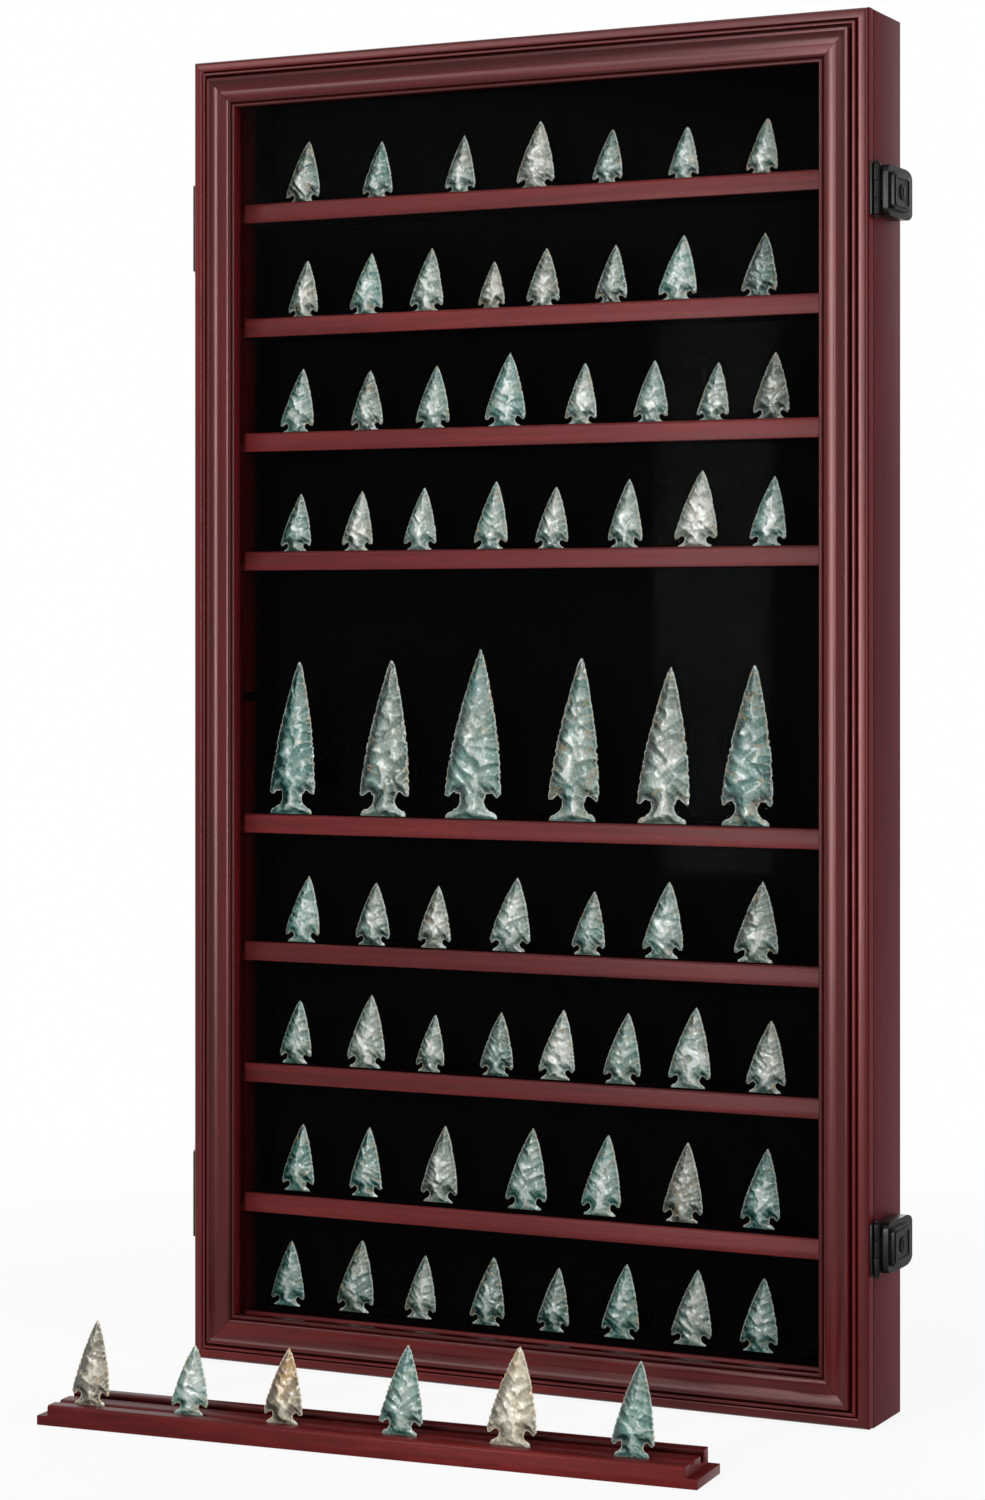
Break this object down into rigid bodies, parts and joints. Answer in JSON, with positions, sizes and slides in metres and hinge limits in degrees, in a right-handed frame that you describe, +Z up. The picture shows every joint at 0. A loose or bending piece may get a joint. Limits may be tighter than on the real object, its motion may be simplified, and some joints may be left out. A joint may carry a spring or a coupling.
{
  "type": "arrowhead display box",
  "caption": "Tall shallow wall case with a moulded glazed door, key hasps, slotted rails and lift-out shelves holding rows of arrowheads.",
  "frame": {"origin": "middle of the underside of the case", "axes": "+Z up, +X to the viewer's right, the door faces -Y"},
  "size_m": [0.4338, 0.2324, 0.762],
  "materials": {
    "cherry_wood": "satin lacquer over a dark cherry stain",
    "black_felt": "matt felt",
    "clear_glass": "clear",
    "black_metal": "satin black",
    "bronze": "dark bronze plate",
    "pin_steel": "plain",
    "point_stone": "flaked, glassy"
  },
  "bodies": {
    "case": {"left_side_panel": "cherry_wood", "right_side_panel": "cherry_wood", "bottom_panel": "cherry_wood", "top_panel": "cherry_wood", "back_board": "cherry_wood", "felt_backing": "black_felt", "left_shelf_rail": "cherry_wood", "right_shelf_rail": "cherry_wood", "hinge_case_leaf_lower": "bronze", "hinge_case_leaf_upper": "bronze", "hinge_pin_lower": "pin_steel", "hinge_pin_upper": "pin_steel", "lock_strike_lower": "black_metal", "lock_strike_upper": "black_metal"},
    "door": {"door_rail_bottom": "cherry_wood", "door_rail_top": "cherry_wood", "door_stile_left": "cherry_wood", "door_stile_right": "cherry_wood", "door_glass": "clear_glass", "glass_stop_bottom": "cherry_wood", "glass_stop_top": "cherry_wood", "glass_stop_left": "cherry_wood", "glass_stop_right": "cherry_wood", "hinge_door_leaf_lower": "bronze", "hinge_door_leaf_upper": "bronze", "lock_leaf_lower": "black_metal", "lock_leaf_upper": "black_metal", "lock_pin_lower": "black_metal", "lock_pin_upper": "black_metal"},
    "shelf_1": {"shelf_1": "cherry_wood"},
    "shelf_2": {"shelf_2": "cherry_wood"},
    "shelf_3": {"shelf_3": "cherry_wood"},
    "shelf_4": {"shelf_4": "cherry_wood"},
    "shelf_5": {"shelf_5": "cherry_wood", "spear_point_1": "point_stone", "spear_point_2": "point_stone", "spear_point_3": "point_stone", "spear_point_4": "point_stone", "spear_point_5": "point_stone", "spear_point_6": "point_stone"},
    "shelf_7": {"shelf_7": "cherry_wood"},
    "shelf_8": {"shelf_8": "cherry_wood"},
    "shelf_9": {"shelf_9": "cherry_wood"},
    "shelf_10": {"shelf_10": "cherry_wood"},
    "loose_shelf": {"loose_shelf": "cherry_wood", "loose_point_1": "point_stone", "loose_point_2": "point_stone", "loose_point_3": "point_stone", "loose_point_4": "point_stone", "loose_point_5": "point_stone", "loose_point_6": "point_stone"},
    "hasp_lower": {"hasp_cover_lower": "black_metal"},
    "plug_lower": {"lock_plug_lower": "black_metal"},
    "hasp_upper": {"hasp_cover_upper": "black_metal"},
    "plug_upper": {"lock_plug_upper": "black_metal"}
  },
  "joints": [
    {"name": "door_hinge", "type": "hinge", "parent": "case", "child": "door", "pos_m": [-0.2115, -0.0224, 0.381], "axis": [0, 0, -1], "range_deg": [0, 110]},
    {"name": "shelf_1_slide", "type": "slide", "parent": "case", "child": "shelf_1", "axis": [0, -1, 0], "range_m": [0, 0.03648]},
    {"name": "shelf_2_slide", "type": "slide", "parent": "case", "child": "shelf_2", "axis": [0, -1, 0], "range_m": [0, 0.03648]},
    {"name": "shelf_3_slide", "type": "slide", "parent": "case", "child": "shelf_3", "axis": [0, -1, 0], "range_m": [0, 0.03648]},
    {"name": "shelf_4_slide", "type": "slide", "parent": "case", "child": "shelf_4", "axis": [0, -1, 0], "range_m": [0, 0.03648]},
    {"name": "shelf_5_slide", "type": "slide", "parent": "case", "child": "shelf_5", "axis": [0, -1, 0], "range_m": [0, 0.03648]},
    {"name": "shelf_7_slide", "type": "slide", "parent": "case", "child": "shelf_7", "axis": [0, -1, 0], "range_m": [0, 0.03648]},
    {"name": "shelf_8_slide", "type": "slide", "parent": "case", "child": "shelf_8", "axis": [0, -1, 0], "range_m": [0, 0.03648]},
    {"name": "shelf_9_slide", "type": "slide", "parent": "case", "child": "shelf_9", "axis": [0, -1, 0], "range_m": [0, 0.03648]},
    {"name": "shelf_10_slide", "type": "slide", "parent": "case", "child": "shelf_10", "axis": [0, -1, 0], "range_m": [0, 0.03648]},
    {"name": "loose_shelf_clear", "type": "slide", "parent": "case", "child": "loose_shelf", "axis": [0, -1, 0], "range_m": [0, 0.51836]},
    {"name": "hasp_lower_hinge", "type": "hinge", "parent": "door", "child": "hasp_lower", "pos_m": [0.2115, -0.0251, 0.097], "axis": [0, 0, -1], "range_deg": [0, 130]},
    {"name": "plug_lower_turn", "type": "hinge", "parent": "hasp_lower", "child": "plug_lower", "pos_m": [0.2115, -0.0059, 0.097], "axis": [1, 0, 0], "range_deg": [0, 90]},
    {"name": "hasp_upper_hinge", "type": "hinge", "parent": "door", "child": "hasp_upper", "pos_m": [0.2115, -0.0251, 0.665], "axis": [0, 0, -1], "range_deg": [0, 130]},
    {"name": "plug_upper_turn", "type": "hinge", "parent": "hasp_upper", "child": "plug_upper", "pos_m": [0.2115, -0.0059, 0.665], "axis": [1, 0, 0], "range_deg": [0, 90]}
  ],
  "couplings": [
    {"joint": "shelf_1_slide", "follows": "door_hinge", "m_per_rad": 0.019},
    {"joint": "shelf_2_slide", "follows": "door_hinge", "m_per_rad": 0.019},
    {"joint": "shelf_3_slide", "follows": "door_hinge", "m_per_rad": 0.019},
    {"joint": "shelf_4_slide", "follows": "door_hinge", "m_per_rad": 0.019},
    {"joint": "shelf_5_slide", "follows": "door_hinge", "m_per_rad": 0.019},
    {"joint": "shelf_7_slide", "follows": "door_hinge", "m_per_rad": 0.019},
    {"joint": "shelf_8_slide", "follows": "door_hinge", "m_per_rad": 0.019},
    {"joint": "shelf_9_slide", "follows": "door_hinge", "m_per_rad": 0.019},
    {"joint": "shelf_10_slide", "follows": "door_hinge", "m_per_rad": 0.019},
    {"joint": "loose_shelf_clear", "follows": "door_hinge", "m_per_rad": 0.27}
  ]
}
